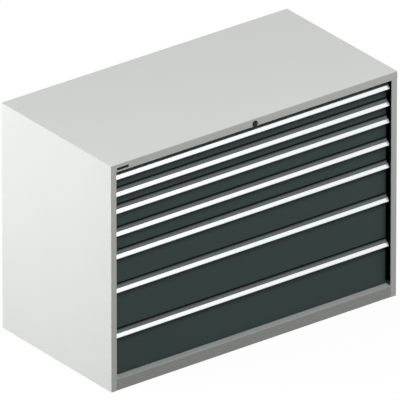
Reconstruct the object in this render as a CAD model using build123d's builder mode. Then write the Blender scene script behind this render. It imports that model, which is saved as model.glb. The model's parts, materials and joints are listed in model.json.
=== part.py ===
"""Workshop drawer cabinet: a folded sheet-steel housing with seven full-width drawers.

Origin at the middle of the footprint on the floor, +Z up, front towards -Y, right side towards +X.
Every drawer runs out on differential roller carriages, and one lock at the top holds all drawers.
"""

import os
from math import cos, hypot, radians, sin

from build123d import *

os.makedirs("parts", exist_ok=True)

# Housing
housing_width = 1431.0
housing_depth = 725.0
housing_sheet = 1.5
bend_radius = 2.5
plinth_height = 51.0
foot_return = 40.0
stile_width = 28.0
stile_hem = 3.0
weld_flange_inset = 40.0
rear_flange = 25.0
top_rail_height = 33.5
top_rail_lip = 22.0
weld_flange = 25.0
back_sheet = 1.25
back_edge_gap = 2.0
anchor_hole_radius = 5.5
anchor_inset = 95.5

# Drawer stack, from the top drawer down
shallow_pitch = 75.0
medium_pitch = 100.0
deep_pitch = 150.0
tall_pitch = 200.0
drawer_pitches = (
    shallow_pitch,
    shallow_pitch,
    medium_pitch,
    medium_pitch,
    deep_pitch,
    tall_pitch,
    tall_pitch,
)
gap_over_stack = 7.5
gap_under_stack = 8.0

# Drawer fronts
front_recess = 30.0
front_gap = 3.0
front_side_gap = 4.0
front_depth = 18.0
front_sheet = 1.5
front_rear_lip = 15.0
front_edge = 1.2
lowest_front_drop = 6.0

# Handle extrusion, measured out from the drawer front and down from its top edge
handle_wall = 2.0
handle_leg = 36.0
scoop_drop = 12.0
brow_out = 11.0
brow_drop = 14.0
nose_out = 20.5
nose_drop = 28.5
lip_out = 17.5
lip_drop = 32.0
handle_bend = 2.5
label_height = 14.0
label_thickness = 0.8
label_play = 0.1
cap_thickness = 3.0

# Drawer trays
tray_sheet = 1.2
tray_lift = 8.0
tray_headroom = 12.0
tray_rim = 8.0
tray_rim_drop = 6.0
rear_space = 64.5

# Runners: two facing channels with a roller carriage between them
post_setback = 0.5
post_width = 40.0
post_margin = 3.0
channel_width = 8.5
channel_wall = 1.8
runner_height = 30.0
runner_front_gap = 2.5
runner_rear_gap = 20.0
drawer_rail_overhang = 52.0
roller_radius = 10.0
roller_gap = 0.3
roller_lash = 0.8
roller_end_gap = 0.5
roller_inset = 16.0
roller_window_gap = 0.3
carriage_length = 420.0
carriage_strap = 2.7
carriage_bar = 2.0
carriage_bar_gap = 0.5

# Central lock
lock_drop = 20.5
rosette_radius = 12.0
rosette_proud = 5.0
rosette_edge = 1.0
barrel_radius = 9.5
barrel_length = 24.0
barrel_hole_gap = 0.1
plug_radius = 6.5
plug_gap = 0.06
plug_tail = 6.0
key_slot_width = 1.8
key_slot_height = 7.5
key_slot_depth = 9.0
lock_rod_radius = 4.0
crank_throw = 12.0
crank_thickness = 4.0
crank_half_width = 6.0
crank_pin_radius = 3.0
crank_pin_tip = 1.0
crank_rest_angle = 45.0
crank_slot_play = 0.6
bolt_width = 20.0
bolt_thickness = 4.0
bolt_back_gap = 5.0
bolt_front_gap = 0.5
bolt_head_over = 8.0
bolt_head_under = 16.0
bolt_head_margin = 5.0
bolt_foot = 8.0
hook_width = 8.0
hook_arm = 4.0
hook_finger = 18.0
hook_finger_thickness = 6.0
catch_gap = 1.5
catch_height = 30.0
catch_width = 26.0
catch_length = 32.0
catch_sheet = 2.0
catch_hole = 13.0
catch_hole_from_tray = 18.0
guide_wall = 1.5
guide_gap = 0.3
guide_height = 14.0
guide_rise = 52.0

# One overrun serves every cut
overrun = 5.0

# Places worked out from the sizes above
half_width = housing_width / 2
front_y = -housing_depth / 2
back_y = housing_depth / 2
side_inner_x = half_width - housing_sheet
stile_inner_x = half_width - stile_width
back_outer_y = back_y - housing_sheet
back_inner_y = back_outer_y - back_sheet
stack_bottom = plinth_height + gap_under_stack
stack_top = stack_bottom + sum(drawer_pitches)
rail_bottom = stack_top + gap_over_stack
housing_height = rail_bottom + top_rail_height
under_top = housing_height - housing_sheet

face_y = front_y + front_recess
front_rear_y = face_y + front_depth
front_half_width = stile_inner_x - front_side_gap
tray_rear_y = back_y - rear_space
tray_depth = tray_rear_y - front_rear_y
tray_middle_y = (tray_rear_y + front_rear_y) / 2

post_x = stile_inner_x + post_setback
cabinet_tip_x = post_x - channel_width
carriage_outer_x = cabinet_tip_x - carriage_bar_gap
carriage_inner_x = carriage_outer_x - carriage_bar
drawer_tip_x = carriage_inner_x - carriage_bar_gap
tray_half_width = drawer_tip_x - channel_width
channel_inner_height = 2 * (roller_radius + roller_gap) + roller_lash
channel_height = channel_inner_height + 2 * channel_wall
rail_front_y = front_rear_y + runner_front_gap
rail_rear_y = back_inner_y - runner_rear_gap
drawer_rail_rear_y = tray_rear_y + drawer_rail_overhang
carriage_middle_y = (rail_front_y + drawer_rail_rear_y) / 2

lock_z = housing_height - lock_drop
bolt_rear_y = back_inner_y - bolt_back_gap
bolt_front_y = bolt_rear_y - bolt_thickness
rod_front_y = front_y + barrel_length + plug_tail
crank_rear_y = bolt_front_y - bolt_front_gap
crank_front_y = crank_rear_y - crank_thickness
crank_pin_x = -crank_throw * cos(radians(crank_rest_angle))
crank_pin_z = lock_z - crank_throw * sin(radians(crank_rest_angle))
catch_hole_y = tray_rear_y + catch_hole_from_tray


def pitch_bottoms():
    """Height of each drawer's pitch line, from the top drawer down."""
    bottoms = []
    line = stack_top
    for pitch in drawer_pitches:
        line -= pitch
        bottoms.append(line)
    return bottoms


drawer_bottoms = pitch_bottoms()


def save(piece, name):
    """Label a finished piece and write it under its node's name."""
    piece.part.label = name
    export_step(piece.part, f"parts/{name}.step")


def folded_section(plane, points, wall, side, radius):
    """Section of a bent sheet: its outer line, rounded at each fold and given a wall."""
    with BuildSketch(plane) as section:
        with BuildLine():
            FilletPolyline(*points, radius=radius)
            offset(amount=wall, side=side)
        make_face()
    return section.sketch


def block(low, high, mode=Mode.ADD):
    """Flat plate or cut between two corners."""
    size = [b - a for a, b in zip(low, high)]
    middle = tuple((a + b) / 2 for a, b in zip(low, high))
    with Locations(middle):
        Box(*size, mode=mode)


# Side panels: outer skin, front stile with its hem, rear flange
with BuildPart() as side_panel_right:
    extrude(
        folded_section(
            Plane.XY,
            [
                (stile_inner_x, front_y + stile_hem),
                (stile_inner_x, front_y),
                (half_width, front_y),
                (half_width, back_y),
                (half_width - rear_flange, back_y),
            ],
            housing_sheet,
            Side.LEFT,
            bend_radius,
        ),
        amount=under_top,
    )
    # The top panel's front rail closes the frame above the stile
    block(
        (stile_inner_x - overrun, front_y - overrun, rail_bottom),
        (side_inner_x, front_y + stile_hem + overrun, under_top + overrun),
        mode=Mode.SUBTRACT,
    )
    block(
        (stile_inner_x - overrun, front_y - overrun, rail_bottom),
        (half_width + overrun, front_y + housing_sheet, under_top + overrun),
        mode=Mode.SUBTRACT,
    )
    # The skin's top corner leaves room for the inside of the rail's fold
    block(
        (stile_inner_x - overrun, front_y - overrun, housing_height - bend_radius),
        (half_width + overrun, front_y + bend_radius, under_top + overrun),
        mode=Mode.SUBTRACT,
    )
save(side_panel_right, "side_panel_right")

with BuildPart() as side_panel_left:
    mirror(side_panel_right.part, about=Plane.YZ)
save(side_panel_left, "side_panel_left")


# Top panel: skin folded down into the front rail, with weld flanges inside the sides and back
with BuildPart() as top_panel:
    extrude(
        folded_section(
            Plane.YZ,
            [(front_y, rail_bottom), (front_y, housing_height), (back_y, housing_height)],
            housing_sheet,
            Side.RIGHT,
            bend_radius,
        ),
        amount=half_width,
        both=True,
    )
    block(
        (-side_inner_x, front_y + housing_sheet, rail_bottom),
        (side_inner_x, front_y + top_rail_lip, rail_bottom + housing_sheet),
    )
    block(
        (-side_inner_x, back_inner_y - housing_sheet, under_top - weld_flange),
        (side_inner_x, back_inner_y, under_top),
    )
    for side in (-1, 1):
        flange_x = side * (side_inner_x - housing_sheet / 2)
        with Locations((flange_x, (front_y + back_y) / 2, under_top - weld_flange / 2)):
            Box(housing_sheet, housing_depth - 2 * weld_flange_inset, weld_flange)
    with Locations(Plane.XZ.offset(-front_y - overrun)):
        with Locations((0, lock_z)):
            Cylinder(
                barrel_radius + barrel_hole_gap,
                2 * overrun + housing_sheet,
                align=(Align.CENTER, Align.CENTER, Align.MIN),
                mode=Mode.SUBTRACT,
            )
save(top_panel, "top_panel")


# Base pan: floor of the housing, folded down into the plinth and turned in where it meets the floor
with BuildPart() as base_pan:
    extrude(
        folded_section(
            Plane.YZ,
            [
                (front_y + foot_return, 0),
                (front_y, 0),
                (front_y, plinth_height),
                (back_outer_y, plinth_height),
                (back_outer_y, 0),
                (back_outer_y - foot_return, 0),
            ],
            housing_sheet,
            Side.RIGHT,
            bend_radius,
        ),
        amount=stile_inner_x,
        both=True,
    )
    for side in (-1, 1):
        wing_x = side * (stile_inner_x + side_inner_x) / 2
        wing_y = (front_y + stile_hem + back_outer_y - rear_flange) / 2
        wing_depth = back_outer_y - rear_flange - front_y - stile_hem
        with Locations((wing_x, wing_y, plinth_height - housing_sheet / 2)):
            Box(side_inner_x - stile_inner_x, wing_depth, housing_sheet)
        with Locations((side * (side_inner_x - housing_sheet / 2), wing_y, plinth_height / 2)):
            Box(housing_sheet, wing_depth, plinth_height)
    anchor_ys = (front_y + foot_return / 2, back_outer_y - foot_return / 2)
    for anchor_y in anchor_ys:
        for anchor_x in (anchor_inset - half_width, half_width - anchor_inset):
            with Locations((anchor_x, anchor_y, housing_sheet / 2)):
                Cylinder(anchor_hole_radius, housing_sheet + 2 * overrun, mode=Mode.SUBTRACT)
save(base_pan, "base_pan")


# Back panel, with three straps that guide the lock bar
with BuildPart() as back_panel:
    block(
        (-side_inner_x + back_edge_gap, back_inner_y, plinth_height),
        (side_inner_x - back_edge_gap, back_outer_y, under_top),
    )
    strap_inner_x = bolt_width / 2 + guide_gap
    strap_outer_x = strap_inner_x + guide_wall
    strap_inner_y = bolt_front_y - guide_gap
    # Every second drawer from the third down has a strap behind it
    for bottom in drawer_bottoms[2::2]:
        strap_z = bottom + guide_rise
        block(
            (-strap_outer_x, strap_inner_y - guide_wall, strap_z),
            (strap_outer_x, back_inner_y, strap_z + guide_height),
        )
        block(
            (-strap_inner_x, strap_inner_y, strap_z - overrun),
            (strap_inner_x, back_inner_y, strap_z + guide_height + overrun),
            mode=Mode.SUBTRACT,
        )
save(back_panel, "back_panel")


# Runner posts: four channels welded to the sides, which carry the cabinet rails
with BuildPart() as runner_posts:
    post_depth = side_inner_x - post_x
    for post_front_y in (rail_front_y + post_margin, rail_rear_y - post_margin - post_width):
        with BuildSketch(Plane.XY.offset(plinth_height)):
            with Locations((post_x + post_depth / 2, post_front_y + post_width / 2)):
                Rectangle(post_depth, post_width)
            with Locations((post_x + post_depth / 2 + housing_sheet, post_front_y + post_width / 2)):
                Rectangle(post_depth, post_width - 2 * housing_sheet, mode=Mode.SUBTRACT)
        extrude(amount=rail_bottom - plinth_height)
    mirror(about=Plane.YZ)
save(runner_posts, "runner_posts")


def channel(web_x, tip_x, middle_z, rear_y, length):
    """Solid of one runner channel, its open side from web_x towards tip_x."""
    way = 1 if tip_x > web_x else -1
    with BuildPart() as rail:
        with BuildSketch(Plane.XZ.offset(-rear_y)):
            with Locations(((web_x + tip_x) / 2, middle_z)):
                Rectangle(channel_width, channel_height)
            with Locations(((web_x + tip_x) / 2 + way * channel_wall, middle_z)):
                Rectangle(channel_width, channel_inner_height, mode=Mode.SUBTRACT)
        extrude(amount=length)
    return rail.part


# Cabinet rails: a pair of channels for each drawer, open towards the drawer
with BuildPart() as cabinet_rails:
    for bottom in drawer_bottoms:
        rail_middle = bottom + runner_height + roller_lash / 2
        add(channel(post_x, cabinet_tip_x, rail_middle, rail_rear_y, rail_rear_y - rail_front_y))
    mirror(about=Plane.YZ)
save(cabinet_rails, "cabinet_rails")


def roller(middle_y, axis_z, start_x, end_x):
    """Roller that lies across the runner from one channel's web towards the other."""
    with BuildPart() as wheel:
        with BuildSketch(Plane.YZ.offset(start_x)):
            with Locations((middle_y, axis_z)):
                Circle(roller_radius)
        extrude(amount=end_x - start_x)
    return wheel.part


def carriage(axis_z):
    """Pair of carriages: a bar between the channels, with three rollers on each.

    The front roller runs in the drawer rail and the rear one in the cabinet rail. The wide one in
    the bar's window rolls between both, so the carriage goes half as far as the drawer.
    """
    front_end = carriage_middle_y - carriage_length / 2
    rear_end = carriage_middle_y + carriage_length / 2
    drawer_web_x = tray_half_width + channel_wall + roller_end_gap
    cabinet_web_x = post_x - channel_wall - roller_end_gap
    rollers = (
        (front_end + roller_inset, drawer_web_x, drawer_tip_x),
        (carriage_middle_y, drawer_web_x, cabinet_web_x),
        (rear_end - roller_inset, cabinet_tip_x, cabinet_web_x),
    )
    window = 2 * (roller_radius + roller_window_gap)
    with BuildPart() as pair:
        with BuildSketch(Plane.YZ.offset(carriage_inner_x)):
            with Locations((carriage_middle_y, axis_z)):
                Rectangle(carriage_length, window + 2 * carriage_strap)
                Rectangle(window, window, mode=Mode.SUBTRACT)
        extrude(amount=carriage_bar)
        for place, start_x, end_x in rollers:
            add(roller(place, axis_z, start_x, end_x))
        mirror(about=Plane.YZ)
    return pair


def drawer_rails(axis_z):
    """Pair of channels on the sides of a tray, open towards the cabinet rails."""
    with BuildPart() as pair:
        rail_middle = axis_z - roller_lash / 2
        length = drawer_rail_rear_y - front_rear_y
        add(channel(tray_half_width, drawer_tip_x, rail_middle, drawer_rail_rear_y, length))
        mirror(about=Plane.YZ)
    return pair


def tray(bottom, pitch):
    """Open tray with a turned-in rim, and at the back the catch that the lock hook enters."""
    floor_z = bottom + tray_lift
    rim_z = bottom + pitch - tray_headroom
    catch_z = floor_z + catch_height
    with BuildPart() as pan:
        with BuildSketch(Plane.XY.offset(floor_z)):
            with Locations((0, tray_middle_y)):
                Rectangle(2 * tray_half_width, tray_depth)
        extrude(amount=rim_z - floor_z)
        offset(amount=-tray_sheet, openings=pan.faces().sort_by(Axis.Z)[-1])
        with BuildSketch(Plane.XY.offset(rim_z - tray_sheet)):
            with Locations((0, tray_middle_y)):
                Rectangle(2 * tray_half_width, tray_depth)
                Rectangle(2 * (tray_half_width - tray_rim), tray_depth - 2 * tray_rim, mode=Mode.SUBTRACT)
        extrude(amount=tray_sheet)
        hem = tray_rim - tray_sheet
        with BuildSketch(Plane.XY.offset(rim_z - tray_rim_drop)):
            with Locations((0, tray_middle_y)):
                Rectangle(2 * (tray_half_width - hem), tray_depth - 2 * hem)
                Rectangle(2 * (tray_half_width - tray_rim), tray_depth - 2 * tray_rim, mode=Mode.SUBTRACT)
        extrude(amount=tray_rim_drop)
        with BuildSketch(Plane.XY.offset(catch_z)):
            with Locations((0, tray_rear_y + catch_length / 2)):
                Rectangle(catch_width, catch_length)
            with Locations((0, catch_hole_y)):
                Rectangle(catch_hole, catch_hole, mode=Mode.SUBTRACT)
        extrude(amount=catch_sheet)
    return pan


def front(bottom, top):
    """Drawer front: a folded pan, closed at its edges and lipped at the back."""
    middle_z = (bottom + top) / 2
    with BuildPart() as pan:
        block((-front_half_width, face_y, bottom), (front_half_width, front_rear_y, top))
        chamfer(pan.faces().sort_by(Axis.Y)[0].edges(), front_edge)
        block(
            (-front_half_width + front_sheet, face_y + front_sheet, bottom + front_sheet),
            (front_half_width - front_sheet, front_rear_y - front_sheet, top - front_sheet),
            mode=Mode.SUBTRACT,
        )
        with Locations((0, front_rear_y, middle_z)):
            Box(
                2 * (front_half_width - front_rear_lip),
                2 * (front_sheet + overrun),
                top - bottom - 2 * front_rear_lip,
                mode=Mode.SUBTRACT,
            )
    return pan


def handle_points(top):
    """Outer line of the handle's arm, from its leg over the brow to the nose and finger lip."""
    outline = (
        (handle_wall, scoop_drop),
        (brow_out, brow_drop),
        (nose_out, nose_drop),
        (lip_out, lip_drop),
    )
    return [(face_y - out, top - drop) for out, drop in outline]


def label_plane(top):
    """Plane across the handle's sloping face: local X runs up the slope, local Y stands off it."""
    face_length = hypot(nose_out - brow_out, nose_drop - brow_drop)
    up_y = (nose_out - brow_out) / face_length
    up_z = (nose_drop - brow_drop) / face_length
    middle = (0, face_y - (brow_out + nose_out) / 2, top - (brow_drop + nose_drop) / 2)
    return Plane(origin=middle, x_dir=(0, up_y, up_z), z_dir=(1, 0, 0))


def handle(top):
    """Full-width handle extrusion: a leg on the drawer front and an arm that the fingers pull."""
    half_length = front_half_width - cap_thickness
    slope_plane = label_plane(top)
    with BuildPart() as grip:
        with BuildSketch(Plane.YZ):
            with Locations((face_y - handle_wall / 2, top - handle_leg / 2)):
                Rectangle(handle_wall, handle_leg)
        extrude(amount=half_length, both=True)
        arm = folded_section(Plane.YZ, handle_points(top), handle_wall, Side.LEFT, handle_bend)
        extrude(arm, amount=half_length, both=True)
        with BuildSketch(slope_plane):
            Rectangle(label_height, 2 * label_thickness)
        extrude(amount=half_length + overrun, both=True, mode=Mode.SUBTRACT)
    return grip


def label_strip(top):
    """Label strip, flush in the groove of the handle's sloping face."""
    slope_plane = label_plane(top)
    with BuildPart() as strip:
        with BuildSketch(slope_plane):
            with Locations((0, -label_thickness / 2)):
                Rectangle(label_height - 2 * label_play, label_thickness)
        extrude(amount=front_half_width - cap_thickness, both=True)
    return strip


def end_caps(top):
    """Pair of plates that close the two ends of the handle."""
    rear_corners = [(face_y, top - handle_leg), (face_y, top)]
    leg_corner = [(face_y - handle_wall, top)]
    foot_corner = [(face_y - handle_wall, top - handle_leg)]
    with BuildPart() as pair:
        with BuildSketch(Plane.YZ.offset(front_half_width - cap_thickness)):
            with BuildLine():
                Polyline(*rear_corners, *leg_corner, *handle_points(top), *foot_corner, close=True)
            make_face()
        extrude(amount=cap_thickness)
        mirror(about=Plane.YZ)
    return pair


for number, (bottom, pitch) in enumerate(zip(drawer_bottoms, drawer_pitches), start=1):
    front_top = bottom + pitch - front_gap
    axis_height = bottom + runner_height
    save(tray(bottom, pitch), f"drawer_{number}_tray")
    # The lowest front comes down nearly to the plinth
    front_bottom = bottom - lowest_front_drop if number == len(drawer_pitches) else bottom
    save(front(front_bottom, front_top), f"drawer_{number}_front")
    save(handle(front_top), f"drawer_{number}_handle")
    save(label_strip(front_top), f"drawer_{number}_label_strip")
    save(end_caps(front_top), f"drawer_{number}_end_caps")
    save(drawer_rails(axis_height), f"drawer_{number}_rails")
    save(carriage(axis_height), f"drawer_{number}_carriages")


# Lock housing: rosette on the front rail, barrel through it
with BuildPart() as lock_housing:
    with BuildSketch(Plane.XZ.offset(-front_y)):
        with Locations((0, lock_z)):
            Circle(rosette_radius)
    extrude(amount=rosette_proud)
    chamfer(lock_housing.faces().sort_by(Axis.Y)[0].edges(), rosette_edge)
    with BuildSketch(Plane.XZ.offset(-front_y)):
        with Locations((0, lock_z)):
            Circle(barrel_radius)
    extrude(amount=-barrel_length)
    with BuildSketch(Plane.XZ.offset(-front_y + rosette_proud + overrun)):
        with Locations((0, lock_z)):
            Circle(plug_radius + plug_gap)
    extrude(amount=-(rosette_proud + barrel_length + 2 * overrun), mode=Mode.SUBTRACT)
save(lock_housing, "lock_housing")

# Lock cylinder: the plug that the key turns
with BuildPart() as lock_cylinder:
    with BuildSketch(Plane.XZ.offset(-front_y + rosette_proud)):
        with Locations((0, lock_z)):
            Circle(plug_radius)
    extrude(amount=-(rosette_proud + barrel_length + plug_tail))
    with BuildSketch(Plane.XZ.offset(-front_y + rosette_proud)):
        with Locations((0, lock_z)):
            Rectangle(key_slot_width, key_slot_height)
    extrude(amount=-key_slot_depth, mode=Mode.SUBTRACT)
save(lock_cylinder, "lock_cylinder")

# Lock rod: turns with the plug and carries the crank whose pin lifts the lock bar
with BuildPart() as lock_rod:
    with BuildSketch(Plane.XZ.offset(-rod_front_y)):
        with Locations((0, lock_z)):
            Circle(lock_rod_radius)
    extrude(amount=-(crank_rear_y - rod_front_y))
    with BuildSketch(Plane.XZ.offset(-crank_front_y)):
        with BuildLine():
            Line((0, lock_z), (crank_pin_x, crank_pin_z))
            offset(amount=crank_half_width)
        make_face()
    extrude(amount=-crank_thickness)
    with BuildSketch(Plane.XZ.offset(-crank_rear_y)):
        with Locations((crank_pin_x, crank_pin_z)):
            Circle(crank_pin_radius)
    extrude(amount=-(bolt_front_gap + bolt_thickness + crank_pin_tip))
save(lock_rod, "lock_rod")

# Lock bar: a flat bar behind the trays, with a slotted head and a hook for each drawer
with BuildPart() as lock_bar:
    bar_bottom = drawer_bottoms[-1] + tray_lift + catch_height - catch_gap - hook_finger - hook_arm - bolt_foot
    slot_left = -crank_throw - crank_pin_radius - crank_slot_play
    slot_right = crank_pin_x + crank_pin_radius + crank_slot_play
    head_top = crank_pin_z + bolt_head_over
    with BuildSketch(Plane.XZ.offset(-bolt_rear_y)):
        with Locations((0, (bar_bottom + head_top) / 2)):
            Rectangle(bolt_width, head_top - bar_bottom)
        head_left = slot_left - bolt_head_margin
        with Locations(((head_left + bolt_width / 2) / 2, head_top - (bolt_head_over + bolt_head_under) / 2)):
            Rectangle(bolt_width / 2 - head_left, bolt_head_over + bolt_head_under)
        with Locations(((slot_left + slot_right) / 2, crank_pin_z)):
            Rectangle(slot_right - slot_left, 2 * (crank_pin_radius + crank_slot_play), mode=Mode.SUBTRACT)
    extrude(amount=bolt_thickness)
    for bottom in drawer_bottoms:
        finger_top = bottom + tray_lift + catch_height - catch_gap
        arm_bottom = finger_top - hook_finger - hook_arm
        finger_front_y = catch_hole_y - hook_finger_thickness / 2
        block(
            (-hook_width / 2, finger_front_y, arm_bottom),
            (hook_width / 2, bolt_front_y, arm_bottom + hook_arm),
        )
        block(
            (-hook_width / 2, finger_front_y, arm_bottom),
            (hook_width / 2, finger_front_y + hook_finger_thickness, finger_top),
        )
save(lock_bar, "lock_bar")

print(f"housing {housing_width} x {housing_depth} x {housing_height} mm")
print(f"tray inside {2 * (tray_half_width - tray_sheet)} x {tray_depth - 2 * tray_sheet} mm")
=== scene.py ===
# %% [markdown]
# # A workshop drawer cabinet
# The cabinet is a box of folded steel sheet with seven full-width drawers, each with an aluminium
# handle along its top edge. Its solids come ready made, in metres, with the floor at zero, so this
# lesson only dresses them: camera, light, finishes and the things that are too fine for the solids.

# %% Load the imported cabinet
import json
import math

import bmesh
import bpy
from mathutils import Matrix, Vector


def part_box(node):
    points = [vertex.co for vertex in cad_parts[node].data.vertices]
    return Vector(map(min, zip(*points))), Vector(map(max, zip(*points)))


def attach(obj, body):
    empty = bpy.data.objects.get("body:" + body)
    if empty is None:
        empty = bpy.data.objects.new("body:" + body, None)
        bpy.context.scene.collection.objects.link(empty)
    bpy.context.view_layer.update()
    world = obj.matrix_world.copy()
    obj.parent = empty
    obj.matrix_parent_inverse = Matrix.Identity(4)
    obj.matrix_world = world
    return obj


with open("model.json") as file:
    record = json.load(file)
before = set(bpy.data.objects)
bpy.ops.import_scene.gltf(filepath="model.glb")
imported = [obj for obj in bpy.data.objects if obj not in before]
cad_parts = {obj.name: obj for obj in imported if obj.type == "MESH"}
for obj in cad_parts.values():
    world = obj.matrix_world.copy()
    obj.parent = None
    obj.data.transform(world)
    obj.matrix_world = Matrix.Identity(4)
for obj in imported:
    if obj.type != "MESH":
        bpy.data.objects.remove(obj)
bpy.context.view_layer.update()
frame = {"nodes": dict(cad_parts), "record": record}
scene = bpy.context.scene
scene.view_settings.view_transform = "Standard"

# %% [markdown]
# ## Camera
# Edges that are parallel on the cabinet stay parallel in the picture, so it was taken from very far
# away or drawn that way. A very long lens far off gives the same look and still works when the
# camera is moved round the object. The distance follows from the lens and from the width that fits
# in the frame, and a small shift sets the cabinet where the picture has it.

# %% Set up the camera
AZIMUTH = math.radians(-37.24)
ELEVATION = math.radians(26.217)
FRAME_WIDTH = 1.598
LENS = 1650.0
FRAME_PIXELS = 400
CENTRE_PIXELS_LEFT = 0.33
CENTRE_PIXELS_UP = 0.49
CABINET_MIDDLE = Vector((0.0, 0.0, 0.5))

lens_data = bpy.data.cameras.new("long_lens")
lens_data.lens = LENS
lens_data.shift_x = CENTRE_PIXELS_LEFT / FRAME_PIXELS
lens_data.shift_y = -CENTRE_PIXELS_UP / FRAME_PIXELS
camera = bpy.data.objects.new("long_lens", lens_data)
scene.collection.objects.link(camera)
scene.camera = camera

towards_camera = Vector((
    math.sin(AZIMUTH) * math.cos(ELEVATION),
    -math.cos(AZIMUTH) * math.cos(ELEVATION),
    math.sin(ELEVATION),
))
distance = FRAME_WIDTH * LENS / lens_data.sensor_width
camera.location = CABINET_MIDDLE + towards_camera * distance
camera.rotation_euler = (-towards_camera).to_track_quat("-Z", "Y").to_euler()
lens_data.clip_start = 1.0
lens_data.clip_end = 2 * distance
print("camera stands", round(distance, 1), "m away")

# %% [markdown]
# ## Node helpers
# Every finish below is a small network of shader nodes. Adding a node and wiring its inputs takes
# several lines each time, so one helper does both: it sets a plain value where it gets one and
# makes a link where it gets another node's output. A second helper gives the result of a
# calculation, and a third starts a finish.

# %% Add a node and wire its inputs


def add_node(tree, kind, inputs=None, **settings):
    """New node; inputs maps a socket's name or number to a value or to another node's output."""
    node = tree.nodes.new(kind)
    for name, value in settings.items():
        setattr(node, name, value)
    for socket, value in (inputs or {}).items():
        if isinstance(value, bpy.types.NodeSocket):
            tree.links.new(value, node.inputs[socket])
        else:
            node.inputs[socket].default_value = value
    return node


def calculate(tree, operation, *terms):
    """Output of a maths node."""
    return add_node(tree, "ShaderNodeMath", dict(enumerate(terms)), operation=operation).outputs[0]


def new_finish(name):
    """Empty material, its node tree, its shader and the object's own coordinates in metres."""
    finish = bpy.data.materials.new(name)
    finish.use_nodes = True
    tree = finish.node_tree
    shader = tree.nodes["Principled BSDF"]
    place = tree.nodes.new("ShaderNodeTexCoord").outputs["Object"]
    return finish, tree, shader, place


print("node helpers ready")

# %% [markdown]
# ## A white ground
# The picture's ground is plain white with hardly a shadow. A floor that is only lit would come out
# grey, and a world that is bright enough to look white would light every face alike. So floor and
# world show white to the rays that look at them and less than that to the rays that only light.
# This helper tells the two kinds apart.

# %% Sort the rays that look from those that light


def looking_rays(tree):
    """1 for a ray from the camera, off a gloss or through glass, 0 for one that only lights."""
    rays = add_node(tree, "ShaderNodeLightPath").outputs
    mirrored = calculate(tree, "MAXIMUM", rays["Is Camera Ray"], rays["Is Glossy Ray"])
    return calculate(tree, "MAXIMUM", mirrored, rays["Is Transmission Ray"])


print("ray helper ready")

# %% [markdown]
# ## Floor
# The floor is one large square, a grid with a single cell. It lies a hair under the feet, so that it
# doesn't share a plane with them, and it reaches so far that its edge stays out of the picture.

# %% Lay the floor
FLOOR_HALF = 30.0
FLOOR_DROP = 0.0006

floor_mesh = bpy.data.meshes.new("floor")
shape = bmesh.new()
bmesh.ops.create_grid(shape, x_segments=1, y_segments=1, size=FLOOR_HALF)
bmesh.ops.translate(shape, verts=shape.verts, vec=(0, 0, -FLOOR_DROP))
shape.to_mesh(floor_mesh)
shape.free()
floor = bpy.data.objects.new("floor", floor_mesh)
scene.collection.objects.link(floor)
print("floor", 2 * FLOOR_HALF, "m wide")

# %% [markdown]
# ## The floor's finish
# To the camera and in reflections the floor is mostly pure white, with a small share of the real lit
# surface, so that the shadow stays but is faint. Under the cabinet the lit surface is left alone, so
# that it looks dark through the slits of the base. To the rays that light, the floor is dark all
# over, because a white one would brighten the drawers from below.

# %% Paint the floor
FLOOR_WHITE_SHARE = 0.95
UNDER_HALF_WIDTH, UNDER_HALF_DEPTH = 0.69, 0.34
FLOOR_TONE = 0.08
FLOOR_ROUGHNESS = 0.9
FLOOR_REFLECTION = 0.1
WHITE = (1, 1, 1, 1)

floor_finish, tree, shader, place = new_finish("pale_floor")
shader.inputs["Roughness"].default_value = FLOOR_ROUGHNESS
shader.inputs["Specular IOR Level"].default_value = FLOOR_REFLECTION
looks = looking_rays(tree)
tone = add_node(tree, "ShaderNodeMapRange", {"Value": looks, "To Min": FLOOR_TONE, "To Max": 1.0})
tree.links.new(tone.outputs[0], shader.inputs["Base Color"])
spot = add_node(tree, "ShaderNodeSeparateXYZ", {"Vector": place}).outputs
across = calculate(tree, "ABSOLUTE", spot["X"])
along = calculate(tree, "ABSOLUTE", spot["Y"])
beside = calculate(tree, "GREATER_THAN", across, UNDER_HALF_WIDTH)
before = calculate(tree, "GREATER_THAN", along, UNDER_HALF_DEPTH)
in_open = calculate(tree, "MAXIMUM", beside, before)
share = calculate(tree, "MULTIPLY", in_open, FLOOR_WHITE_SHARE)
seen = calculate(tree, "MULTIPLY", looks, share)
white = add_node(tree, "ShaderNodeEmission", {"Color": WHITE, "Strength": 1.0})
mix = add_node(tree, "ShaderNodeMixShader", {0: seen, 1: shader.outputs[0], 2: white.outputs[0]})
tree.links.new(mix.outputs[0], tree.nodes["Material Output"].inputs["Surface"])
floor_mesh.materials.append(floor_finish)
print("floor shows", FLOOR_WHITE_SHARE, "white")

# %% [markdown]
# ## World
# The world is what lies behind the floor's edge and what smooth faces mirror, so it is white where it
# is seen. As a light it is weak: it only fills the shadows, and the lamps give each face its tone.

# %% Make the world
WORLD_LIGHT = 0.16

world = bpy.data.worlds.new("white_studio")
scene.world = world
world.use_nodes = True
sky = world.node_tree
level = add_node(
    sky, "ShaderNodeMapRange", {"Value": looking_rays(sky), "To Min": WORLD_LIGHT, "To Max": 1.0},
)
background = sky.nodes["Background"]
background.inputs["Color"].default_value = WHITE
sky.links.new(level.outputs[0], background.inputs["Strength"])
print("world lights at", WORLD_LIGHT)

# %% [markdown]
# ## Studio light
# The left side is the brightest face, the top comes next, and the drawer side is darkest and gets
# darker towards the floor. A large soft lamp left of the cabinet, set back so that it passes behind
# the front frame, lights the side. One high up in front lights the top and the drawer side at once,
# and handles and rail throw short shadows down. A weak one behind keeps the back from going dark.

# %% Hang three soft lamps


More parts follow.
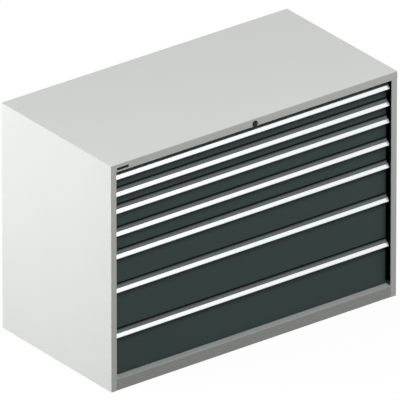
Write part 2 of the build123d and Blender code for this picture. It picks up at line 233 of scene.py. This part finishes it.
def soft_lamp(name, position, target, width, height, watts):
    """Rectangular area lamp that looks at a target."""
    lamp = bpy.data.lights.new(name, "AREA")
    lamp.shape = "RECTANGLE"
    lamp.size = width
    lamp.size_y = height
    lamp.energy = watts
    holder = bpy.data.objects.new(name, lamp)
    holder.location = position
    gaze = Vector(target) - Vector(position)
    holder.rotation_euler = gaze.to_track_quat("-Z", "Y").to_euler()
    scene.collection.objects.link(holder)


soft_lamp(
    "side_lamp", (-4.2, 0.9, 1.7), target=(-0.7, 0.0, 0.5), width=3.0, height=2.4, watts=196,
)
soft_lamp(
    "front_lamp", (0.93, -4.46, 6.05), target=(0.1, -0.36, 0.6), width=2.7, height=2.7, watts=320,
)
soft_lamp(
    "back_lamp", (3.5, 4.2, 1.45), target=(0.2, 0.2, 0.6), width=3.0, height=1.6, watts=135,
)

# %% [markdown]
# ## What the finishes share
# Paint, aluminium, plastic and plated steel are built alike: a pattern makes the colour drift between
# two shades, makes the roughness wander, and raises a fine grain. Three helpers wire one pattern to
# each of these, and a fourth turns a colour into a shade of itself.

# %% Wire a pattern to colour, roughness and bump


def shade(colour, share=1.0):
    """A colour times a share, with the fourth number that a colour socket takes."""
    return (*[min(1.0, c * share) for c in colour], 1)


def vary_colour(tree, shader, pattern, low, high):
    """Let the colour drift between two shades."""
    tone = add_node(
        tree, "ShaderNodeMix", {"Factor": pattern, "A": low, "B": high}, data_type="RGBA",
    )
    tree.links.new(tone.outputs["Result"], shader.inputs["Base Color"])


def vary_roughness(tree, shader, pattern, low, high):
    """Let the roughness wander between two values."""
    rough = add_node(tree, "ShaderNodeMapRange", {"Value": pattern, "To Min": low, "To Max": high})
    tree.links.new(rough.outputs[0], shader.inputs["Roughness"])


def raise_grain(tree, shader, pattern, strength, distance):
    """Bump the surface by a pattern, as deep as a distance in metres."""
    bump = add_node(
        tree, "ShaderNodeBump", {"Height": pattern, "Strength": strength, "Distance": distance},
    )
    tree.links.new(bump.outputs["Normal"], shader.inputs["Normal"])


print("finish helpers ready")

# %% [markdown]
# ## Powder coat
# The housing, the trays and the drawer fronts are powder coated. The powder melts into a skin with a
# very fine orange peel, and its colour drifts a little over a large sheet. A broad noise gives the
# drift, a fine noise drives bump and gloss for the peel, and both read the object's own coordinates
# in metres.

# %% Mix the powder coats
PEEL_ROUGHNESS = 0.05


def powder_coat(name, colour, drift, roughness, reflection):
    """Sprayed and baked paint: a drift in colour, a fine peel, and a roughness that wanders."""
    finish, tree, shader, place = new_finish(name)
    broad = add_node(
        tree, "ShaderNodeTexNoise", {"Vector": place, "Scale": 3.2, "Detail": 4.0, "Roughness": 0.55},
    ).outputs["Fac"]
    vary_colour(tree, shader, broad, shade(colour, 1 - drift), shade(colour, 1 + drift))
    peel = add_node(
        tree, "ShaderNodeTexNoise", {"Vector": place, "Scale": 640.0, "Detail": 2.0},
    ).outputs["Fac"]
    raise_grain(tree, shader, peel, strength=0.10, distance=0.0004)
    vary_roughness(tree, shader, peel, roughness - PEEL_ROUGHNESS, roughness + PEEL_ROUGHNESS)
    shader.inputs["Specular IOR Level"].default_value = reflection
    return finish


finishes = {
    "housing_paint": powder_coat(
        "light_grey_powder_coat", (0.630, 0.642, 0.622), drift=0.025, roughness=0.55, reflection=0.2,
    ),
    # The base's mid grey is painted shade: the housing's grey darkened for the plinth's shade near
    # the floor.
    "base_paint": powder_coat(
        "plinth_painted_shade_coat", (0.415, 0.424, 0.411), drift=0.025, roughness=0.55, reflection=0.2,
    ),
    "front_paint": powder_coat(
        "anthracite_powder_coat", (0.050, 0.076, 0.073), drift=0.06, roughness=0.36, reflection=0.12,
    ),
    "tray_paint": powder_coat(
        "tray_powder_coat", (0.52, 0.53, 0.52), drift=0.03, roughness=0.52, reflection=0.2,
    ),
}
print("powder coats", len(finishes))

# %% [markdown]
# ## Drawn aluminium
# The handle is an extrusion: metal pushed through a die, which leaves hair lines along its length,
# then anodised to a silky silver. Noise that is stretched along X makes such lines. They change the
# colour, the roughness and the bump only a little, because anodising evens them out.

# %% Draw the aluminium
LINE_STRETCH = (3.0, 1500.0, 1500.0)
LINE_SHADE = 0.95


def drawn_aluminium(name, colour, rough_low, rough_high):
    """Satin metal with fine lines along X."""
    finish, tree, shader, place = new_finish(name)
    stretch = add_node(tree, "ShaderNodeMapping", {"Vector": place, "Scale": LINE_STRETCH})
    lines = add_node(
        tree, "ShaderNodeTexNoise", {"Vector": stretch.outputs[0], "Scale": 1.0, "Detail": 3.0},
    ).outputs["Fac"]
    vary_colour(tree, shader, lines, shade(colour, LINE_SHADE), shade(colour))
    vary_roughness(tree, shader, lines, rough_low, rough_high)
    raise_grain(tree, shader, lines, strength=0.05, distance=0.0002)
    shader.inputs["Metallic"].default_value = 1.0
    return finish


finishes["handle_aluminium"] = drawn_aluminium(
    "drawn_handle_aluminium", (0.81, 0.828, 0.832), rough_low=0.26, rough_high=0.36,
)
finishes["label_aluminium"] = drawn_aluminium(
    "bright_strip_aluminium", (0.85, 0.875, 0.875), rough_low=0.20, rough_high=0.28,
)
print("aluminium finishes ready")

# %% [markdown]
# ## Moulded plastics
# The end caps and the lock's rosette are moulded: their skin has the fine grain of a spark-eroded
# mould. A small cell pattern gives that grain to the colour, the roughness and the bump alike.

# %% Mould the plastics
GRAIN_SHADE = 0.86
GRAIN_ROUGHNESS = 0.12


def moulded_plastic(name, colour, roughness, reflection):
    """Plastic with the grain of an eroded mould."""
    finish, tree, shader, place = new_finish(name)
    grain = add_node(
        tree, "ShaderNodeTexVoronoi", {"Vector": place, "Scale": 1100.0},
    ).outputs["Distance"]
    vary_colour(tree, shader, grain, shade(colour, GRAIN_SHADE), shade(colour))
    vary_roughness(tree, shader, grain, roughness, roughness + GRAIN_ROUGHNESS)
    raise_grain(tree, shader, grain, strength=0.12, distance=0.0002)
    shader.inputs["Specular IOR Level"].default_value = reflection
    return finish


finishes["cap_plastic"] = moulded_plastic(
    "light_cap_plastic", (0.72, 0.73, 0.73), roughness=0.42, reflection=0.4,
)
finishes["black_plastic"] = moulded_plastic(
    "black_lock_plastic", (0.012, 0.012, 0.013), roughness=0.42, reflection=0.14,
)
print("finishes so far", sorted(finishes))

# %% [markdown]
# ## Zinc and lock steel
# Rails, carriages and the lock bar are zinc plated: dull silver, with crystals of slightly different
# brightness. A Voronoi pattern picks a brightness for each crystal, and streaks along Y show where
# the rollers run. The lock's plug is darker steel, with finer crystals.

# %% Plate the steel
STREAK_STRETCH = (700.0, 6.0, 700.0)


def plated_steel(name, colour, crystals_per_metre, spread, rough_low, rough_high):
    """Metal with plate crystals and rubbed streaks along Y, the way the drawers run."""
    finish, tree, shader, place = new_finish(name)
    crystals = add_node(
        tree, "ShaderNodeTexVoronoi", {"Vector": place, "Scale": crystals_per_metre},
    )
    bright = add_node(tree, "ShaderNodeSeparateColor", {"Color": crystals.outputs["Color"]})
    vary_colour(tree, shader, bright.outputs[0], shade(colour, 1 - spread), shade(colour))
    stretch = add_node(tree, "ShaderNodeMapping", {"Vector": place, "Scale": STREAK_STRETCH})
    streaks = add_node(
        tree, "ShaderNodeTexNoise", {"Vector": stretch.outputs[0], "Scale": 1.0, "Detail": 3.0},
    ).outputs["Fac"]
    vary_roughness(tree, shader, streaks, rough_low, rough_high)
    raise_grain(tree, shader, streaks, strength=0.05, distance=0.0002)
    shader.inputs["Metallic"].default_value = 1.0
    return finish


finishes["zinc_steel"] = plated_steel(
    "zinc_plated_steel", (0.62, 0.63, 0.65),
    crystals_per_metre=180.0, spread=0.16, rough_low=0.30, rough_high=0.48,
)
finishes["lock_steel"] = plated_steel(
    "dark_lock_steel", (0.045, 0.045, 0.048),
    crystals_per_metre=400.0, spread=0.10, rough_low=0.25, rough_high=0.40,
)
print("finishes", len(finishes))

# %% [markdown]
# ## Dress the solids
# The record says which finish each node takes. A loop hands every node its material, so a solid that
# is added later can't stay bare without the lesson saying so.

# %% Give every node its finish
for row in frame["record"]["subparts"]:
    solid = frame["nodes"][row["node"]]
    solid.data.materials.clear()
    solid.data.materials.append(finishes[row["material_slot"]])

# %% [markdown]
# ## From a bmesh to a piece
# What the solids leave out is modelled here, each thing as a mesh of its own. The helper below turns
# a finished bmesh into an object with its place in its mesh, gives it a finish and says which body
# carries it, so that a piece inside a drawer comes out with that drawer.

# %% Turn a bmesh into a riding piece


def make_piece(name, shape, body, slot, finish=None):
    """Object from a bmesh, riding on a body, in the finish of a record's slot or a shade of it."""
    bmesh.ops.recalc_face_normals(shape, faces=shape.faces)
    mesh = bpy.data.meshes.new(name)
    shape.to_mesh(mesh)
    shape.free()
    mesh.materials.append(finish or finishes[slot])
    piece = bpy.data.objects.new(name, mesh)
    scene.collection.objects.link(piece)
    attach(piece, body)


def extrude_section(shape, points, vec):
    """Close some points to a face, carry it along a vector, and return the points' vertices."""
    ring = [shape.verts.new(point) for point in points]
    run = bmesh.ops.extrude_face_region(shape, geom=[shape.faces.new(ring)])
    far_end = [part for part in run["geom"] if isinstance(part, bmesh.types.BMVert)]
    bmesh.ops.translate(shape, verts=far_end, vec=vec)
    return ring


print("piece helpers ready")

# %% [markdown]
# ## Painted shade behind the frame
# Between the drawers and the frame there is a slit as wide as a finger. Its black is painted shade:
# a strip of soft black plastic lines the pocket behind it, where there is only shade. The strip has
# an L for its section, one leg on the side panel and one on the runner posts. Six points give the L,
# and an extrusion carries it up the pocket.

# %% Line the pockets
SIDE_INSIDE = 0.7139
SHADE_STRIP_INNER = 0.6888
SHADE_STRIP_FRONT = -0.3600
POST_FRONT = -0.3092
SHADE_STRIP_WALL = 0.0024
SHADE_STRIP_LOW, SHADE_STRIP_HIGH = 0.0525, 0.9655
SHADE_STRIP_SECTION = (
    (SIDE_INSIDE, SHADE_STRIP_FRONT),
    (SIDE_INSIDE, POST_FRONT),
    (SHADE_STRIP_INNER, POST_FRONT),
    (SHADE_STRIP_INNER, POST_FRONT - SHADE_STRIP_WALL),
    (SIDE_INSIDE - SHADE_STRIP_WALL, POST_FRONT - SHADE_STRIP_WALL),
    (SIDE_INSIDE - SHADE_STRIP_WALL, SHADE_STRIP_FRONT),
)

# The black of these strips is painted shade for the dark pocket behind the frame.
for side_name, side in (("left", -1), ("right", 1)):
    points = [(side * x, y, SHADE_STRIP_LOW) for x, y in SHADE_STRIP_SECTION]
    shape = bmesh.new()
    extrude_section(shape, points, (0, 0, SHADE_STRIP_HIGH - SHADE_STRIP_LOW))
    make_piece("painted_shade_strip_" + side_name, shape, "housing", "black_plastic")
print("dust seals", round(SHADE_STRIP_HIGH - SHADE_STRIP_LOW, 3), "m high")

# %% [markdown]
# ## Plate on the front rail
# A small dark plate sits at the left end of the rail. It stays bare. A flattened cube with bevelled
# edges and a sunken field, made by one inset, looks like a pressed plate that is glued on.

# %% Press the bare plate
RAIL_FACE = -0.3625
PLATE_SIZE = (0.058, 0.0014, 0.010)
PLATE_STAND = 0.0004
PLATE_MIDDLE = (-0.657, RAIL_FACE - PLATE_STAND, 0.9795)
PLATE_EDGE = 0.0004
PLATE_RIM = 0.0012
PLATE_FIELD_DEPTH = 0.0003

shape = bmesh.new()
bmesh.ops.create_cube(shape, size=1.0)
bmesh.ops.scale(shape, verts=shape.verts, vec=PLATE_SIZE)
bmesh.ops.bevel(
    shape, geom=shape.edges[:], offset=PLATE_EDGE,
    segments=2, profile=0.5, affect="EDGES", material=-1,
)
field = min(shape.faces, key=lambda face: face.calc_center_median().y)
bmesh.ops.inset_region(shape, faces=[field], thickness=PLATE_RIM, depth=-PLATE_FIELD_DEPTH)
bmesh.ops.translate(shape, verts=shape.verts, vec=PLATE_MIDDLE)
make_piece("rail_plate", shape, "housing", "black_plastic")
print("plate", PLATE_SIZE)

# %% [markdown]
# ## Scoop liners
# Above each handle's bright face there is a scoop for the fingertips. Its grey is painted shade and
# painted reflection: the shade under the front above and the dark front mirrored in the scoop. A thin
# liner in a paler tone of the drawer front lies in it and hooks over the handle's brow. Eight points
# draw its section, out from the front's face and down from its top edge. A helper extrudes a section
# along the handle and bevels the scoop and the hook, each with its own radius.

# %% Line the finger scoops
DRAWERS = 7
FRONT_FACE = -0.3325
ROUND_STEPS = 6


def run_section(section, top, half, rounds):
    """Section along a front, from its top edge down, with some of its corners rounded."""
    points = [(-half, FRONT_FACE - out, top - drop) for out, drop in section]
    shape = bmesh.new()
    ring = extrude_section(shape, points, (2 * half, 0, 0))
    for corner, radius in rounds.items():
        long_edge = [edge for edge in ring[corner].link_edges if edge.calc_length() > half]
        bmesh.ops.bevel(
            shape, geom=long_edge, offset=radius,
            segments=ROUND_STEPS, profile=0.5, affect="EDGES", material=-1,
        )
    return shape


LINER_HALF = 0.6833
LINER_SECTION = (
    (0.0020, 0.0004), (0.0020, 0.0120), (0.0110, 0.0140), (0.01166, 0.0150),
    (0.01241, 0.01451), (0.01155, 0.01320), (0.0029, 0.01128), (0.0029, 0.0004),
)
LINER_ROUNDS = {5: 0.0008, 6: 0.005}
# Painted shade and painted reflection: this grey stands in for the scoop's shade and its mirror of
# the dark front.
scoop_shade_paint = powder_coat(
    "scoop_painted_shade", (0.150, 0.168, 0.166), drift=0.05, roughness=0.45, reflection=0.12,
)

for number in range(1, DRAWERS + 1):
    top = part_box(f"drawer_{number}_front")[1][2]
    shape = run_section(LINER_SECTION, top, LINER_HALF, LINER_ROUNDS)
    make_piece(
        f"drawer_{number}_scoop_shade_liner", shape, f"drawer_{number}", "front_paint", scoop_shade_paint,
    )
print("scoop liners", DRAWERS)

# %% [markdown]
# ## Edge trims of painted shade
# A thin dark line parts each drawer from the one above it: the shade in the gap between them. Here
# it is painted shade, a soft black trim over the front's top edge, which covers the sheet and
# narrows the gap. Its section is an L: one leg lies on the edge and one hangs into the scoop, and
# their outer corner is rounded. It stays well under the next drawer, so that both can slide.

# %% Push on the edge trims
TRIM_HALF = 0.6830
TRIM_SECTION = (
    (-0.0060, -0.0005), (0.0036, -0.0005), (0.0036, 0.0024),
    (0.0027, 0.0024), (0.0027, 0.0002), (-0.0060, 0.0002),
)
TRIM_ROUNDS = {1: 0.0006}

# The black of the trims is painted shade for the gap between the drawers.
for number in range(1, DRAWERS + 1):
    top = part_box(f"drawer_{number}_front")[1][2]
    shape = run_section(TRIM_SECTION, top, TRIM_HALF, TRIM_ROUNDS)
    make_piece(f"drawer_{number}_gap_shade_trim", shape, f"drawer_{number}", "black_plastic")
print("edge trims", DRAWERS)

# %% [markdown]
# ## Slotted strips
# The walls of such a tray are slotted so that dividers can be set anywhere. A grid with one cell for
# each slot, every cell inset and pushed back, makes a whole wall at once, and solidify gives it a
# sheet's thickness. It is easiest to stamp the strip lying flat and to stand it up afterwards.

# %% Stamp a strip and stand it up
SLOT_PITCH = 0.017
SLOT_EDGE = 0.0062
SLOT_DEPTH = 0.0011
STRIP_SHEET = 0.0005


def stamp_strip(length, height):
    """One slotted wall strip, lying flat with its face up."""
    cells = int(length / SLOT_PITCH)
    strip = bmesh.new()
    bmesh.ops.create_grid(strip, x_segments=cells, y_segments=1, size=0.5)
    bmesh.ops.scale(strip, verts=strip.verts, vec=(cells * SLOT_PITCH, height, 1))
    bmesh.ops.inset_individual(strip, faces=strip.faces[:], thickness=SLOT_EDGE, depth=-SLOT_DEPTH)
    bmesh.ops.solidify(strip, geom=strip.faces[:], thickness=STRIP_SHEET)
    return strip


def stand_strip(strip, heading, middle):
    """Stand a flat strip up, turn its face to a heading about Z and set its middle in place."""
    upright = Matrix.Rotation(math.radians(90), 4, "X")
    turn = Matrix.Rotation(heading, 4, "Z")
    place = Matrix.Translation(middle) @ turn @ upright
    bmesh.ops.transform(strip, matrix=place, verts=strip.verts)
    part = bpy.data.meshes.new("strip")
    strip.to_mesh(part)
    strip.free()
    return part


print("slots", SLOT_PITCH, "m apart")

# %% [markdown]
# ## Four strips in each tray
# Each tray gets a strip on either side, one in front and one at the rear, joined to one piece that
# rides on the drawer. They stand a little off the sheet, so that no two faces share a plane. The
# height comes from the tray's own box, so a deeper drawer has higher strips with the same slots.

# %% Fit four strips in each tray
STRIP_OFF_WALL = 0.0018
STRIP_END = 0.014
STRIP_OVER_FLOOR, STRIP_UNDER_RIM = 0.012, 0.010
TRAY_HALF = 0.6668
TRAY_FRONT, TRAY_REAR = -0.3133, 0.2968

side_run = TRAY_REAR - TRAY_FRONT - 2 * STRIP_END
cross_run = 2 * TRAY_HALF - 2 * STRIP_END
tray_middle = (TRAY_FRONT + TRAY_REAR) / 2
for number in range(1, DRAWERS + 1):
    low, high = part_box(f"drawer_{number}_tray")
    bottom, top = low[2] + STRIP_OVER_FLOOR, high[2] - STRIP_UNDER_RIM
    height, middle_z = top - bottom, (top + bottom) / 2
    walls = (
        (side_run, math.radians(90), (-TRAY_HALF + STRIP_OFF_WALL, tray_middle, middle_z)),
        (side_run, math.radians(-90), (TRAY_HALF - STRIP_OFF_WALL, tray_middle, middle_z)),
        (cross_run, math.radians(180), (0, TRAY_FRONT + STRIP_OFF_WALL, middle_z)),
        (cross_run, 0.0, (0, TRAY_REAR - STRIP_OFF_WALL, middle_z)),
    )
    shape = bmesh.new()
    for run, heading, middle in walls:
        part = stand_strip(stamp_strip(run, height), heading, middle)
        shape.from_mesh(part)
        bpy.data.meshes.remove(part)
    make_piece(f"drawer_{number}_slotted_strips", shape, f"drawer_{number}", "tray_paint")
print("slotted strips", DRAWERS, "sets")

# %% [markdown]
# ## Rivets at the back
# The rear flanges of the sides hold the back panel with rivets. A rivet's head is a small flat dome,
# so a short cone with a bevelled crown is enough. One helper drives it in with its axis along any
# direction, because the next step needs rivets that lie on their side.

# %% Set the back rivets
RIVET_SIDES = 14
RIVET_TAPER = 0.8
RIVET_CROWN = 0.3
FLANGE_MIDDLE, FLANGE_FACE = 0.7025, 0.3625
BACK_RIVET_RADIUS, BACK_RIVET_HEIGHT = 0.0045, 0.0014
BACK_RIVET_LOW, BACK_RIVET_STEP, BACK_RIVETS = 0.10, 0.13, 7


def set_rivet(shape, place, axis, radius, height):
    """Flat domed rivet head, its foot at a place and its crown along an axis."""
    head = bmesh.ops.create_cone(
        shape, cap_ends=True, segments=RIVET_SIDES,
        radius1=radius, radius2=radius * RIVET_TAPER, depth=height,
    )["verts"]
    edges = {edge for vert in head for edge in vert.link_edges}
    crown = [edge for edge in edges if all(vert.co.z > 0 for vert in edge.verts)]
    rounded = bmesh.ops.bevel(
        shape, geom=crown, offset=height * RIVET_CROWN,
        segments=2, profile=0.5, affect="EDGES", material=-1,
    )
    verts = list({v for v in head if v.is_valid} | {v for f in rounded["faces"] for v in f.verts})
    bmesh.ops.translate(shape, verts=verts, vec=(0, 0, height / 2))
    turn = Vector((0, 0, 1)).rotation_difference(Vector(axis)).to_matrix().to_4x4()
    bmesh.ops.transform(shape, matrix=Matrix.Translation(place) @ turn, verts=verts)


shape = bmesh.new()
for side in (-1, 1):
    for row in range(BACK_RIVETS):
        place = (side * FLANGE_MIDDLE, FLANGE_FACE, BACK_RIVET_LOW + row * BACK_RIVET_STEP)
        set_rivet(shape, place, (0, 1, 0), BACK_RIVET_RADIUS, BACK_RIVET_HEIGHT)
make_piece("back_rivets", shape, "housing", "zinc_steel")
print("back rivets", 2 * BACK_RIVETS)

# %% [markdown]
# ## Roller pins
# The pins of the front and rear rollers are riveted through the carriage bars, so each leaves a head
# on the side of the bar that has no roller. The heads ride on the carriage, which moves half as far
# as its drawer.

# %% Rivet the roller pins
BAR_OUTER, BAR_INNER = 0.679, 0.677
FRONT_PIN, REAR_PIN = -0.175, 0.213
PIN_RADIUS, PIN_HEIGHT = 0.004, 0.0012

for number in range(1, DRAWERS + 1):
    low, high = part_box(f"drawer_{number}_carriages")
    axle = (low[2] + high[2]) / 2
    shape = bmesh.new()
    for side in (-1, 1):
        set_rivet(shape, (side * BAR_OUTER, FRONT_PIN, axle), (side, 0, 0), PIN_RADIUS, PIN_HEIGHT)
        set_rivet(shape, (side * BAR_INNER, REAR_PIN, axle), (-side, 0, 0), PIN_RADIUS, PIN_HEIGHT)
    make_piece(f"drawer_{number}_roller_pins", shape, f"drawer_{number}_carriage", "zinc_steel")
print("roller pins", 4 * DRAWERS)
